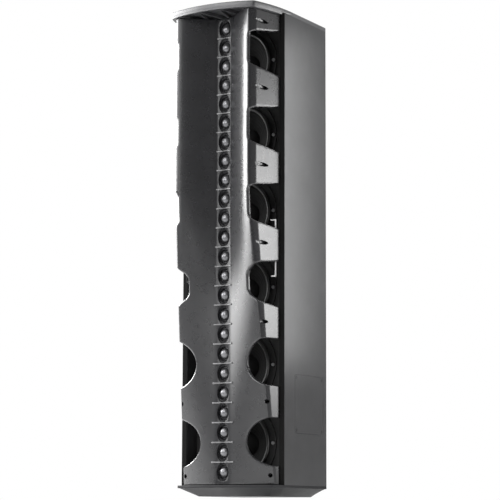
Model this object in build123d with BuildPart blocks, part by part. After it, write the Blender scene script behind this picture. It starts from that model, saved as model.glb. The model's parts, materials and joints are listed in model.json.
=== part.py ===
"""Column line array speaker: six low drivers behind a tall horn that carries a row of dome tweeters.

Frame: X across the column, Y from the front (negative) to the back, Z up, in millimetres.
The origin is the middle of the bounding box, on the surface that the column stands on.
"""

from build123d import *
import math
import os

os.makedirs("parts", exist_ok=True)

# ---------------------------------------------------------------- driving dimensions
WIDTH = 244.0
HEIGHT = 1004.0
REAR_Y = 150.0
EDGE_Y = -42.0            # front edges of the side walls
WALL = 12.0
LOW_SEAM = 22.0           # top of the bottom cap
TOP_SEAM = 995.0          # underside of the top cap
CHAMFER_X = 9.0           # rear corners of the plan
CHAMFER_Y = 13.0

WOOFERS = 6
WOOFER_PITCH = 160.0
FIRST_WOOFER = 108.0
TWEETERS = 24
TWEETER_PITCH = 40.0
FIRST_TWEETER = 48.0
BANK = 8                  # tweeters that share one level of the shaded array

BAFFLE_Y = -2.0           # front face of the baffle
BAFFLE_T = 12.0
CLEAR = 0.2               # screw in its hole, all round

HALF = WIDTH / 2
INNER = HALF - WALL
BAFFLE_BACK = BAFFLE_Y + BAFFLE_T
REAR_WALL_Y = REAR_Y - WALL
ROOM_LOW = LOW_SEAM + WALL
ROOM_TOP = TOP_SEAM - WALL
woofer_z = [FIRST_WOOFER + WOOFER_PITCH * i for i in range(WOOFERS)]
tweeter_z = [FIRST_TWEETER + TWEETER_PITCH * i for i in range(TWEETERS)]


# ---------------------------------------------------------------- helpers
def finish(piece, name):
    """Labels a finished piece and writes it to its own file."""
    piece.part.label = name
    export_step(piece.part, f"parts/{name}.step")


def outline(points, plane=Plane.XY):
    """A closed face with straight sides."""
    with BuildSketch(plane) as face:
        with BuildLine():
            Polyline(*points, close=True)
        make_face()
    return face.sketch


def facing_front(y, z=0.0):
    """A plane across the column with its normal to the front; its own axes are X and Z."""
    return Plane(origin=(0, y, z), x_dir=(1, 0, 0), z_dir=(0, -1, 0))


def facing_back(y, z=0.0):
    """A plane across the column with its normal to the back; its own axes are -X and Z."""
    return Plane(origin=(0, y, z), x_dir=(-1, 0, 0), z_dir=(0, 1, 0))


def discs(centres, radius, y):
    """Round faces at the given (x, z) centres, on a plane that faces the front."""
    with BuildSketch(facing_front(y)) as face:
        with Locations(*centres):
            Circle(radius)
    return face.sketch


def profile(points, z):
    """A radius-and-depth profile of a round driver, ready to turn about turn_axis(z)."""
    return outline(points, Plane.XY.offset(z))


def turn_axis(z):
    return Axis((0, 0, z), (0, 1, 0))


def mirrored(points):
    """A left-right symmetric outline from its right half."""
    return points + [(-x, y) for x, y in reversed(points)]


def cap_middle(radius, rise_of_cap):
    """Radius and drop from the apex, halfway along a ball-shaped cap of this radius and rise."""
    ball = (radius ** 2 + rise_of_cap ** 2) / (2 * rise_of_cap)
    turn = math.asin(radius / ball) / 2
    return ball * math.sin(turn), ball * (1 - math.cos(turn))


def cap_profile(radius, apex, rise_of_cap, thick, z, tail=0.0):
    """Half profile of a thin ball-shaped cap; its rim may carry a tube of length tail."""
    inner = radius - thick
    out_r, out_drop = cap_middle(radius, rise_of_cap)
    in_r, in_drop = cap_middle(inner, rise_of_cap - thick)
    rim = apex + rise_of_cap
    with BuildSketch(Plane.XY.offset(z)) as half:
        with BuildLine():
            ThreePointArc((0, apex), (out_r, apex + out_drop), (radius, rim))
            Polyline((radius, rim), (radius, rim + tail), (inner, rim + tail), (inner, rim)) if tail else Line(
                (radius, rim), (inner, rim))
            ThreePointArc((inner, rim), (in_r, apex + thick + in_drop), (0, apex + thick))
            Line((0, apex + thick), (0, apex))
        make_face()
    return half.sketch


# ---------------------------------------------------------------- shared places
COVER_Y = (3.0, 123.0)    # side cover, front to back
COVER_Z = (128.0, 247.0)
COVER_T = 2.0
COVER_GAP = 0.5
cover_y = sum(COVER_Y) / 2
cover_z = sum(COVER_Z) / 2
cover_long = COVER_Y[1] - COVER_Y[0]
cover_tall = COVER_Z[1] - COVER_Z[0]
side_plane = Plane(origin=(HALF, cover_y, cover_z), x_dir=(0, 1, 0), z_dir=(1, 0, 0))
cover_spots = [(y, z) for y in (6 - cover_long / 2, cover_long / 2 - 6)
               for z in (6 - cover_tall / 2, cover_tall / 2 - 6)]

DISH_Z = 150.0            # middle of the rear input dish
DISH_X = 150.0
DISH_H = 112.0
CUP_X = 120.0
CUP_H = 84.0
CUP_DEEP = 30.0
DISH_T = 3.0
dish_plane = facing_back(REAR_Y, DISH_Z)
cup_floor = REAR_Y - CUP_DEEP
dish_spots = [(x, DISH_Z + dz) for x in (-68, 68) for dz in (-49, 49)]

INSERT_R = 3.4            # tapping size of an M8 thread
INSERT_BODY_R = 6.0
BRACKET_X = 102.0
BRACKET_Z = 70.0
bracket_z = [340.0, 664.0]
insert_spots = [(x, z + dz) for z in bracket_z for x in (-BRACKET_X / 2, BRACKET_X / 2)
                for dz in (-BRACKET_Z / 2, BRACKET_Z / 2)]

FLANGE_Y = BAFFLE_Y - 3   # front of the woofer baskets
SCREW_CIRCLE = 75.5
basket_spots = [(SCREW_CIRCLE * math.cos(math.radians(a)), z + SCREW_CIRCLE * math.sin(math.radians(a)))
                for z in woofer_z for a in range(0, 360, 60)]

POST_X = 100.5            # screw posts behind the horn's tabs
POST_R = 4.8
tab_z = [41.0] + [z + WOOFER_PITCH / 2 for z in woofer_z[:-1]] + [967.0]
post_spots = [(x, z) for z in tab_z for x in (-POST_X, POST_X)]

# ---------------------------------------------------------------- cabinet
wall_plan = mirrored([(HALF, EDGE_Y + 1.5), (HALF, REAR_Y - CHAMFER_Y), (HALF - CHAMFER_X, REAR_Y)])


def room_plan(front):
    """Plan of the space inside the walls, from a front edge back."""
    return mirrored([(INNER, front), (INNER, REAR_WALL_Y - 7), (INNER - 5, REAR_WALL_Y)])


with BuildPart() as cabinet_shell:
    extrude(outline(wall_plan, Plane.XY.offset(LOW_SEAM)), amount=TOP_SEAM - LOW_SEAM)
    extrude(outline(room_plan(EDGE_Y - 10), Plane.XY.offset(LOW_SEAM - 1)),
            amount=TOP_SEAM - LOW_SEAM + 2, mode=Mode.SUBTRACT)
    with BuildSketch(side_plane):
        RectangleRounded(cover_long + 2 * COVER_GAP, cover_tall + 2 * COVER_GAP, 3)
    extrude(amount=-COVER_T, mode=Mode.SUBTRACT)
    with BuildSketch(side_plane):
        Rectangle(cover_long - 28, cover_tall - 24)
        with Locations(*cover_spots):
            Circle(1.4)
    extrude(amount=-WALL - 1, mode=Mode.SUBTRACT)
    with BuildSketch(dish_plane):
        RectangleRounded(DISH_X + 0.6, DISH_H + 0.6, 4)
    extrude(amount=-DISH_T, mode=Mode.SUBTRACT)
    with BuildSketch(dish_plane):
        Rectangle(CUP_X + 2 * DISH_T + 1, CUP_H + 2 * DISH_T + 1)
    extrude(amount=-WALL - 1, mode=Mode.SUBTRACT)
    extrude(discs(dish_spots, 1.6, REAR_Y), amount=9, mode=Mode.SUBTRACT)
    extrude(discs(insert_spots, INSERT_BODY_R, REAR_Y + 1), amount=WALL + 2, mode=Mode.SUBTRACT)
finish(cabinet_shell, "cabinet_shell")

with BuildPart() as wall_edge_gaskets:
    with BuildSketch(Plane.XY.offset(LOW_SEAM)):
        with Locations((HALF - WALL / 2, EDGE_Y + 0.75), (WALL / 2 - HALF, EDGE_Y + 0.75)):
            Rectangle(WALL - 1, 1.5)
    extrude(amount=TOP_SEAM - LOW_SEAM)
finish(wall_edge_gaskets, "wall_edge_gaskets")

CAP_SCREW_R = 2.5
cap_spots = [(x, y) for x in (-62, 62) for y in (5, 112)]
for panel_name, panel_z in (("bottom_panel", LOW_SEAM), ("top_panel", ROOM_TOP)):
    with BuildPart() as end_panel:
        extrude(outline(room_plan(BAFFLE_Y), Plane.XY.offset(panel_z)), amount=WALL)
        with BuildSketch(Plane.XY.offset(panel_z)):
            with Locations(*cap_spots):
                Circle(CAP_SCREW_R + CLEAR)
        extrude(amount=WALL, mode=Mode.SUBTRACT)
    finish(end_panel, panel_name)

HOLE_R = 68.5
with BuildPart() as front_baffle:
    with BuildSketch(facing_front(BAFFLE_BACK, (ROOM_LOW + ROOM_TOP) / 2)):
        Rectangle(2 * INNER, ROOM_TOP - ROOM_LOW)
    extrude(amount=BAFFLE_T)
    extrude(discs([(0, z) for z in woofer_z], HOLE_R, BAFFLE_BACK), amount=BAFFLE_T, mode=Mode.SUBTRACT)
    extrude(discs(basket_spots + post_spots, 2.0 + CLEAR, BAFFLE_BACK), amount=BAFFLE_T, mode=Mode.SUBTRACT)
finish(front_baffle, "front_baffle")

brace_z = [(woofer_z[i] + woofer_z[i + 1]) / 2 for i in (1, 3)]
with BuildPart() as cabinet_braces:
    for z in brace_z:
        extrude(outline(room_plan(BAFFLE_BACK), Plane.XY.offset(z - WALL / 2)), amount=WALL)
        with BuildSketch(Plane.XY.offset(z - WALL)):
            with Locations((-52, 74), (52, 74)):
                RectangleRounded(76, 92, 12)
        extrude(amount=2 * WALL, mode=Mode.SUBTRACT)
finish(cabinet_braces, "cabinet_braces")

FOAM_T = 16.0
foam_spans = [(ROOM_LOW + 200, brace_z[0] - 8), (brace_z[0] + 8, brace_z[1] - 8), (brace_z[1] + 8, ROOM_TOP - 4)]
with BuildPart() as damping_foam:
    for low, high in foam_spans:
        with BuildSketch(facing_back(REAR_WALL_Y, (low + high) / 2)):
            Rectangle(190, high - low)
        extrude(amount=-FOAM_T)
finish(damping_foam, "damping_foam")

# ---------------------------------------------------------------- end caps
CAP_FRONT = -150.0        # middle of the top cap's front arc
CAP_CORNER = (100.0, -130.0)
FLANK_END = -16.0         # where the flanks reach the full width
LIP_LOW = 990.5           # bottom of the lip under the overhang


def cap_outline(inset, height):
    """Plan of the top cap: shallow front arc, flanks that widen to the walls, chamfered back."""
    corner_x = CAP_CORNER[0] - inset
    corner_y = CAP_CORNER[1] + inset
    half = HALF - inset
    back = REAR_Y - inset
    with BuildSketch(Plane.XY.offset(height)) as face:
        with BuildLine():
            ThreePointArc((-corner_x, corner_y), (0, CAP_FRONT + inset), (corner_x, corner_y))
            ThreePointArc((corner_x, corner_y), (half - 7, -78), (half, FLANK_END))
            Polyline((half, FLANK_END), (half, back - CHAMFER_Y), (half - CHAMFER_X, back),
                     (CHAMFER_X - half, back), (-half, back - CHAMFER_Y), (-half, FLANK_END))
            ThreePointArc((-half, FLANK_END), (7 - half, -78), (-corner_x, corner_y))
        make_face()
        fillet([v for v in face.vertices() if v.Y < -120], 9)
    return face.sketch


with BuildPart() as top_cap:
    extrude(cap_outline(0, TOP_SEAM), amount=HEIGHT - TOP_SEAM)
    fillet(top_cap.faces().sort_by(Axis.Z)[-1].edges(), 2.5)
    with BuildSketch(Plane.XY.offset(LIP_LOW)):
        add(cap_outline(0.5, 0))
        with Locations((0, EDGE_Y - 5 + 100)):
            Rectangle(2 * WIDTH, 200, mode=Mode.SUBTRACT)
    extrude(amount=TOP_SEAM - LIP_LOW)
    for i in range(7):
        middle = (i - 3) * 25.0
        arc_y = CAP_FRONT + 19 * (middle / CAP_CORNER[0]) ** 2 + 7
        wide_y, tip_y = (arc_y, EDGE_Y - 10) if i % 2 else (EDGE_Y - 10, arc_y)
        triangle = [(middle - 20, wide_y), (middle + 20, wide_y), (middle, tip_y)]
        extrude(outline(triangle, Plane.XY.offset(LIP_LOW)), amount=7, mode=Mode.SUBTRACT)
    with BuildSketch(Plane.XY.offset(HEIGHT)):
        with Locations(*cap_spots):
            Circle(CAP_SCREW_R + 2.7)
    extrude(amount=-3.5, mode=Mode.SUBTRACT)
    with BuildSketch(Plane.XY.offset(HEIGHT)):
        with Locations(*cap_spots):
            Circle(CAP_SCREW_R + CLEAR)
    extrude(amount=TOP_SEAM - HEIGHT, mode=Mode.SUBTRACT)
finish(top_cap, "top_cap")

RIM_LOW = 16.5
RIM_CORNER = (113.0, -71.0)
RIM_FRONT = -87.0
with BuildPart() as bottom_cap:
    with BuildSketch(Plane.XY.offset(RIM_LOW)):
        with BuildLine():
            ThreePointArc((-RIM_CORNER[0], RIM_CORNER[1]), (0, RIM_FRONT), RIM_CORNER)
            Polyline(RIM_CORNER, (HALF, EDGE_Y + 6), (HALF, REAR_Y - CHAMFER_Y), (HALF - CHAMFER_X, REAR_Y),
                     (CHAMFER_X - HALF, REAR_Y), (-HALF, REAR_Y - CHAMFER_Y), (-HALF, EDGE_Y + 6),
                     (-RIM_CORNER[0], RIM_CORNER[1]))
        make_face()
    extrude(amount=LOW_SEAM - RIM_LOW)
    upper = mirrored([(0.01, -84), (110, -68), (119, -36), (119, 136), (111, 147)])
    lower = mirrored([(0.01, -39), (80, -39), (84, -34), (84, 138), (80, 143)])
    loft([outline(lower), outline(upper, Plane.XY.offset(RIM_LOW))], ruled=True)
    with BuildSketch(Plane.XY):
        with Locations(*cap_spots):
            Circle(CAP_SCREW_R + 2.7)
    extrude(amount=12, mode=Mode.SUBTRACT)
    with BuildSketch(Plane.XY):
        with Locations(*cap_spots):
            Circle(CAP_SCREW_R + CLEAR)
    extrude(amount=LOW_SEAM, mode=Mode.SUBTRACT)
finish(bottom_cap, "bottom_cap")

with BuildPart() as cap_screws:
    for seat, direction in ((HEIGHT - 3.5, -1), (12, 1)):
        for radius, tall in ((CAP_SCREW_R + 2.2, -2.6), (CAP_SCREW_R, 16)):
            with BuildSketch(Plane.XY.offset(seat)):
                with Locations(*cap_spots):
                    Circle(radius)
            extrude(amount=tall * direction)
finish(cap_screws, "cap_screws")

# ---------------------------------------------------------------- horn
HORN_LOW = 24.0
HORN_TOP = 989.0
RISE_END = 684.0          # above this height the horn keeps one section
RISE_BLEND = 524.0        # below this height it grows evenly
SKIN = 3.2
THROAT = 37.0             # depth of the throat in front of the wall edges
LAND_HALF = 26.0          # flat land beside the tweeters, where the flare starts
SPINE_HALF = 30.0
SPINE_BACK = 20.0
SKIRT = (112.0, 4.0)      # foot of the side skirts


def rise(z):
    """0 at the foot of the horn, where it is nearly flat, to 1 where it is deepest."""
    even = (min(z, RISE_BLEND) - HORN_LOW) / 580.0
    over = min(max(z - RISE_BLEND, 0), RISE_END - RISE_BLEND)
    return even + (over - over ** 2 / (2 * (RISE_END - RISE_BLEND))) / 580.0


def between(low, high, u):
    return low[0] + (high[0] - low[0]) * u, low[1] + (high[1] - low[1]) * u


def crest(u):
    return between((107.5, 13.0), (87.0, 88.0), u)


def shoulder(u):
    return between((110.0, 8.5), (97.0, 71.0), u)


def horn_face(z):
    """Section of the horn's outside: flared mouth, crest, facet and side skirt, on both sides."""
    u = rise(z)
    flare = [(LAND_HALF, THROAT), between((53.0, 35.6), (43.0, 57.3), u), between((83.0, 25.5), (62.1, 79.0), u),
             crest(u)]
    with BuildSketch(Plane.XY.offset(z)) as face:
        with BuildLine():
            for side in (1, -1):
                place = [(side * x, EDGE_Y - d) for x, d in flare]
                Bezier(*place)
                edge = [(side * x, EDGE_Y - d) for x, d in (crest(u), shoulder(u), SKIRT)]
                Polyline(*edge)
            Line((-LAND_HALF, EDGE_Y - THROAT), (LAND_HALF, EDGE_Y - THROAT))
            Line((-SKIRT[0], EDGE_Y - SKIRT[1]), (SKIRT[0], EDGE_Y - SKIRT[1]))
        make_face()
    return face.sketch


def horn_hollow(z):
    """Section of the space behind the horn's skin; the spine that carries the tweeters stays solid."""
    u = rise(z)
    flare = [(SPINE_HALF, 33.5 + 3.4 * u), between((53.0, 32.4), (45.5, 55.3), u),
             between((82.0, 22.6), (63.2, 76.0), u), between((105.0, 10.7), (85.5, 84.3), u)]
    with BuildSketch(Plane.XY.offset(z)) as face:
        with BuildLine():
            for side in (1, -1):
                place = [(side * x, EDGE_Y - d) for x, d in flare]
                Bezier(*place)
                knee = (shoulder(u)[0] - 3.0, shoulder(u)[1] - 1.2)
                wall = [flare[-1], knee, (SKIRT[0] - SKIN, 3.0), (SKIRT[0] - SKIN, -6.0)]
                Polyline(*[(side * x, EDGE_Y - d) for x, d in wall])
                Line((side * SPINE_HALF, EDGE_Y - SPINE_BACK), place[0])
            Line((-SPINE_HALF, EDGE_Y - SPINE_BACK), (SPINE_HALF, EDGE_Y - SPINE_BACK))
            Line((SKIN - SKIRT[0], EDGE_Y + 6), (SKIRT[0] - SKIN, EDGE_Y + 6))
        make_face()
    return face.sketch


def skirt_depth(z, x):
    """Depth of the horn's outside at a place on the facet or the skirt."""
    u = rise(z)
    corners = [crest(u), shoulder(u), SKIRT]
    if x < corners[0][0]:
        return corners[0][1] + (corners[0][0] - x) * 0.45 * (1 - u)
    for (x0, d0), (x1, d1) in zip(corners, corners[1:]):
        if x <= x1:
            return d0 + (d1 - d0) * (x - x0) / (x1 - x0)
    return SKIRT[1]


CUT_HALF = 46.0           # half height of the side openings at the skirt
cut_reach = [57.0, 51.0, 42.0, 29.0, 28.0, 28.0]


def side_opening(z, reach):
    """One opening beside a woofer: a half ellipse low down, a rounded notch higher up."""
    with BuildSketch(facing_front(EDGE_Y + 10, z)) as face:
        if reach > 45:
            with Locations((SKIRT[0], 0)):
                Ellipse(reach, CUT_HALF)
                Rectangle(40, 2 * CUT_HALF, align=(Align.MIN, Align.CENTER))
        else:
            inner = 24.0 if reach > 35 else 30.0
            with BuildLine():
                Polyline((SKIRT[0] - reach, -inner), (SKIRT[0], -CUT_HALF), (SKIRT[0] + 40, -CUT_HALF),
                         (SKIRT[0] + 40, CUT_HALF), (SKIRT[0], CUT_HALF), (SKIRT[0] - reach, inner), close=True)
            make_face()
            fillet([v for v in face.vertices() if v.X < SKIRT[0] - 20], 20 if reach > 35 else 10)
    return face.sketch


POT_R = 17.0              # tweeter motor
DISH_DEEP = 29.0          # depth of the small end of each tweeter dish
DISH_R = 13.3
DISH_RIM = 19.4           # large end, which leaves a thin ridge between neighbours
RIB_T = 1.8               # the rib on that ridge
RIB_PROUD = 1.2
RIB_WIDE = 27.0           # half width of the lowest rib; the ribs get 10 mm shorter each side towards the top
with BuildPart() as horn_body:
    heights = [HORN_LOW, RISE_BLEND, 564, 604, 644, RISE_END, HORN_TOP]
    loft([horn_face(z) for z in heights], ruled=True)
with BuildPart() as post_fronts:
    extrude(discs(post_spots, POST_R, EDGE_Y - SKIRT[1]), amount=90)
    add(horn_body.part, mode=Mode.INTERSECT)
with BuildPart() as horn_waveguide:
    add(horn_body.part)
    heights = [HORN_LOW + SKIN, RISE_BLEND, 564, 604, 644, RISE_END, HORN_TOP - SKIN]
    loft([horn_hollow(z) for z in heights], ruled=True, mode=Mode.SUBTRACT)
    for z, reach in zip(woofer_z, cut_reach):
        cutter = side_opening(z, reach)
        extrude(cutter, amount=120, mode=Mode.SUBTRACT)
        extrude(mirror(cutter, Plane.YZ, mode=Mode.PRIVATE), amount=120, mode=Mode.SUBTRACT)
    add(post_fronts.part)
    extrude(discs(post_spots, POST_R, BAFFLE_Y), amount=BAFFLE_Y - EDGE_Y + SKIRT[1])
    extrude(discs(post_spots, 2.0 + CLEAR, BAFFLE_Y), amount=130, mode=Mode.SUBTRACT)
    for x, z in post_spots:
        seat = EDGE_Y - skirt_depth(z, POST_X) + 12
        extrude(discs([(x, z)], 4.2, seat), amount=60, mode=Mode.SUBTRACT)
    extrude(discs([(0, z) for z in tweeter_z], POT_R + 1.2, EDGE_Y - SKIRT[1] + 1), amount=SPINE_BACK - 3,
            mode=Mode.SUBTRACT)
    for z in tweeter_z:
        dish = [(0, EDGE_Y - SPINE_BACK + 1), (DISH_R, EDGE_Y - SPINE_BACK + 1), (DISH_R, EDGE_Y - DISH_DEEP),
                (DISH_RIM, EDGE_Y - THROAT), (DISH_RIM, EDGE_Y - THROAT - 2), (0, EDGE_Y - THROAT - 2)]
        revolve(profile(dish, z), axis=turn_axis(z), mode=Mode.SUBTRACT)
    for low, high in zip(tweeter_z, tweeter_z[1:]):
        middle = (low + high) / 2
        with BuildSketch(facing_front(EDGE_Y - THROAT + 2, middle)):
            SlotOverall(2 * (RIB_WIDE - 10 * rise(middle)), RIB_T)
        extrude(amount=RIB_PROUD + 2)
finish(horn_waveguide, "horn_waveguide")

tab_screw_spots = [(x, z, EDGE_Y - skirt_depth(z, POST_X) + 12) for x, z in post_spots]
with BuildPart() as horn_screws:
    for x, z, seat in tab_screw_spots:
        extrude(discs([(x, z)], 3.8, seat), amount=3)
        extrude(discs([(x, z)], 2.0, BAFFLE_BACK - 2), amount=BAFFLE_BACK - 2 - seat)
finish(horn_screws, "horn_screws")

CLIP_LOW = 443.0
CLIP_TOP = 561.0
CLIP_IN = 96.0
CLIP_OUT = 106.9
CLIP_T = 1.5
CLIP_LEG = 2.4
with BuildPart() as horn_clips:
    for side in (1, -1):
        shape = [(CLIP_IN, CLIP_LOW), (CLIP_OUT, CLIP_LOW), (CLIP_OUT, CLIP_TOP), (CLIP_IN, CLIP_TOP),
                 (CLIP_IN, CLIP_TOP - CLIP_LEG), (CLIP_OUT - CLIP_T, CLIP_TOP - CLIP_LEG),
                 (CLIP_OUT - CLIP_T, CLIP_LOW + CLIP_LEG), (CLIP_IN, CLIP_LOW + CLIP_LEG)]
        extrude(outline([(side * x, z) for x, z in shape], facing_front(EDGE_Y - 6)), amount=4)
finish(horn_clips, "horn_clips")

# ---------------------------------------------------------------- tweeters
DOME_R = 12.6
DOME_TOP = 34.0           # apex, in front of the wall edges
DOME_RISE = 7.5
DOME_T = 0.5
DOME_COIL = 16.0          # coil former behind the dome
with BuildPart() as tweeter_plates:
    for z in tweeter_z:
        ring = [(DISH_R, EDGE_Y - SPINE_BACK), (POT_R + 1, EDGE_Y - SPINE_BACK),
                (POT_R + 1, EDGE_Y - SPINE_BACK + 3), (DISH_R, EDGE_Y - SPINE_BACK + 3)]
        revolve(profile(ring, z), axis=turn_axis(z))
finish(tweeter_plates, "tweeter_plates")

with BuildPart() as tweeter_motors:
    for z in tweeter_z:
        front = EDGE_Y - SPINE_BACK + 3
        pot = [(0, front), (11.2, front), (11.2, front + 11), (14, front + 11), (14, front), (POT_R, front),
               (POT_R, front + 15), (0, front + 15)]
        revolve(profile(pot, z), axis=turn_axis(z))
finish(tweeter_motors, "tweeter_motors")

for bank, bank_name in enumerate(("lower", "middle", "upper")):
    with BuildPart() as domes:
        for z in tweeter_z[BANK * bank:BANK * (bank + 1)]:
            dome = cap_profile(DOME_R, EDGE_Y - DOME_TOP, DOME_RISE, DOME_T, z, tail=DOME_COIL)
            revolve(dome, axis=turn_axis(z))
    finish(domes, f"tweeter_domes_{bank_name}")

# ---------------------------------------------------------------- woofers
BASKET_R = 82.0
CONE_R = 59.5
NECK_R = 19.2
COIL_R = 19.0
GAP_Y = 50.0              # front of the magnet's top plate
for i, z in enumerate(woofer_z, start=1):
    with BuildPart() as basket:
        wall = [(60.5, FLANGE_Y), (BASKET_R, FLANGE_Y), (BASKET_R, BAFFLE_Y), (67.5, BAFFLE_Y), (47, 44), (47, GAP_Y),
                (21, GAP_Y), (21, GAP_Y - 2.5), (44.8, GAP_Y - 2.5), (44.8, 43.5), (64.8, -3), (60.5, -3)]
        revolve(profile(wall, z), axis=turn_axis(z))
        with BuildSketch(facing_front(38, z)):
            with PolarLocations(60, 6, start_angle=30):
                Rectangle(44, 34)
        extrude(amount=30, mode=Mode.SUBTRACT)
        with BuildSketch(facing_front(GAP_Y, z)):
            Rectangle(2 * BASKET_R, WOOFER_PITCH - 1)
        extrude(amount=60, mode=Mode.INTERSECT)
        spots = [spot for spot in basket_spots if abs(spot[1] - z) < WOOFER_PITCH / 2]
        extrude(discs(spots, 2.0 + CLEAR, 0), amount=6, mode=Mode.SUBTRACT)
    finish(basket, f"woofer_basket_{i}")

    with BuildPart() as cone:
        paper = [(CONE_R, -4.2), (CONE_R, -3.2), (NECK_R, 30.6), (NECK_R, 29.2)]
        revolve(profile(paper, z), axis=turn_axis(z))
        revolve(cap_profile(24, 16.8, 8.2, 0.8, z), axis=turn_axis(z))
    finish(cone, f"woofer_cone_{i}")

    with BuildPart() as coil:
        former = [(COIL_R - 0.4, 29.2), (COIL_R, 29.2), (COIL_R, 47), (COIL_R + 0.6, 47), (COIL_R + 0.6, 60),
                  (COIL_R - 0.4, 60)]
        revolve(profile(former, z), axis=turn_axis(z))
    finish(coil, f"woofer_coil_{i}")

with BuildPart() as woofer_surrounds:
    for z in woofer_z:
        with BuildSketch(Plane.XY.offset(z)) as roll:
            with BuildLine():
                ThreePointArc((60.2, FLANGE_Y), (64.9, FLANGE_Y - 4.8), (69.6, FLANGE_Y))
                Line((69.6, FLANGE_Y), (68.6, FLANGE_Y))
                ThreePointArc((68.6, FLANGE_Y), (64.9, FLANGE_Y - 3.8), (61.2, FLANGE_Y))
                Line((61.2, FLANGE_Y), (60.2, FLANGE_Y))
            make_face()
        revolve(roll.sketch, axis=turn_axis(z))
finish(woofer_surrounds, "woofer_surrounds")

with BuildPart() as woofer_spiders:
    for z in woofer_z:
        waves = [(19.9 + 2.2 * k, 39.0 + (1.2 if k % 2 else 0)) for k in range(12)]
        sheet = waves + [(r, y - 0.8) for r, y in reversed(waves)]
        revolve(profile(sheet, z), axis=turn_axis(z))
finish(woofer_spiders, "woofer_spiders")

with BuildPart() as woofer_magnets:
    for z in woofer_z:
        ring = [(26, GAP_Y + 6), (50, GAP_Y + 6), (50, GAP_Y + 22), (26, GAP_Y + 22)]
        revolve(profile(ring, z), axis=turn_axis(z))
finish(woofer_magnets, "woofer_magnets")

with BuildPart() as woofer_pole_pieces:
    for z in woofer_z:
        plate = [(20.4, GAP_Y), (46, GAP_Y), (46, GAP_Y + 6), (20.4, GAP_Y + 6)]
        revolve(profile(plate, z), axis=turn_axis(z))
        pole = [(0, GAP_Y), (18.0, GAP_Y), (18.0, GAP_Y + 22), (48, GAP_Y + 22), (48, GAP_Y + 28), (0, GAP_Y + 28)]
        revolve(profile(pole, z), axis=turn_axis(z))
finish(woofer_pole_pieces, "woofer_pole_pieces")

with BuildPart() as woofer_screws:
    extrude(discs(basket_spots, 3.6, FLANGE_Y), amount=2.4)
    extrude(discs(basket_spots, 2.0, FLANGE_Y + 12), amount=12)
finish(woofer_screws, "woofer_screws")

# ---------------------------------------------------------------- crossover
BOARD_Z = ROOM_LOW + 8
BOARD_T = 1.6
board_spots = [(x, y) for x in (-84, 84) for y in (36, 124)]
PARTS_Z = BOARD_Z + BOARD_T
with BuildPart() as crossover_board:
    with BuildSketch(Plane.XY.offset(BOARD_Z)):
        with Locations((0, 80)):
            RectangleRounded(180, 100, 3)
    extrude(amount=BOARD_T)
finish(crossover_board, "crossover_board")

with BuildPart() as crossover_spacers:
    with BuildSketch(Plane.XY.offset(ROOM_LOW)):
        with Locations(*board_spots):
            Circle(3.5)
    extrude(amount=BOARD_Z - ROOM_LOW)
finish(crossover_spacers, "crossover_spacers")

with BuildPart() as crossover_coils:
    for x, y, radius, tall in ((-62, 104, 21, 24), (-14, 106, 18, 20), (66, 104, 15, 18)):
        with BuildSketch(Plane.XY.offset(PARTS_Z)):
            with Locations((x, y)):
                Circle(radius)
                Circle(radius * 0.42, mode=Mode.SUBTRACT)
        extrude(amount=tall)
finish(crossover_coils, "crossover_coils")

with BuildPart() as crossover_capacitors:
    for x, y, radius, tall in ((20, 98, 9, 34), (20, 118, 9, 34), (42, 98, 8, 30), (42, 118, 8, 30)):
        with BuildSketch(Plane.XY.offset(PARTS_Z)):
            with Locations((x, y)):
                Circle(radius)
        extrude(amount=tall)
finish(crossover_capacitors, "crossover_capacitors")

with BuildPart() as crossover_resistors:
    for x in (-60, -36, 36, 60):
        with BuildSketch(Plane.XY.offset(PARTS_Z)):
            with Locations((x, 56)):
                Rectangle(10, 42)
        extrude(amount=9)
finish(crossover_resistors, "crossover_resistors")

# ---------------------------------------------------------------- side access cover
COVER_SCREW_R = 1.3
with BuildPart() as side_access_cover:
    with BuildSketch(side_plane):
        RectangleRounded(cover_long, cover_tall, 2.5)
    extrude(amount=-COVER_T)
    with BuildSketch(side_plane):
        with Locations(*cover_spots):
            Circle(3.0)
    extrude(amount=-1.2, mode=Mode.SUBTRACT)
    with BuildSketch(side_plane):
        with Locations(*cover_spots):
            Circle(COVER_SCREW_R + CLEAR)
    extrude(amount=-COVER_T, mode=Mode.SUBTRACT)
finish(side_access_cover, "side_access_cover")

with BuildPart() as side_cover_screws:
    for depth, radius in ((1.2, 2.7), (10.0, COVER_SCREW_R)):
        with BuildSketch(side_plane):
            with Locations(*cover_spots):
                Circle(radius)
        extrude(amount=-depth)
finish(side_cover_screws, "side_cover_screws")

# ---------------------------------------------------------------- rear input dish
HINGE_Y = 147.6
HINGE_Z = DISH_Z + CUP_H / 2 - 2.6
PIN_R = 1.0
BARREL_R = 2.1
LID_X = CUP_X - 1.6
LID_T = 2.4
LID_LOW = DISH_Z - CUP_H / 2 + 0.8
switch_x = [-32.0, 32.0]
SWITCH_Z = DISH_Z + 18
pin_plane = Plane.YZ.offset(-CUP_X / 2 - DISH_T)

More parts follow.
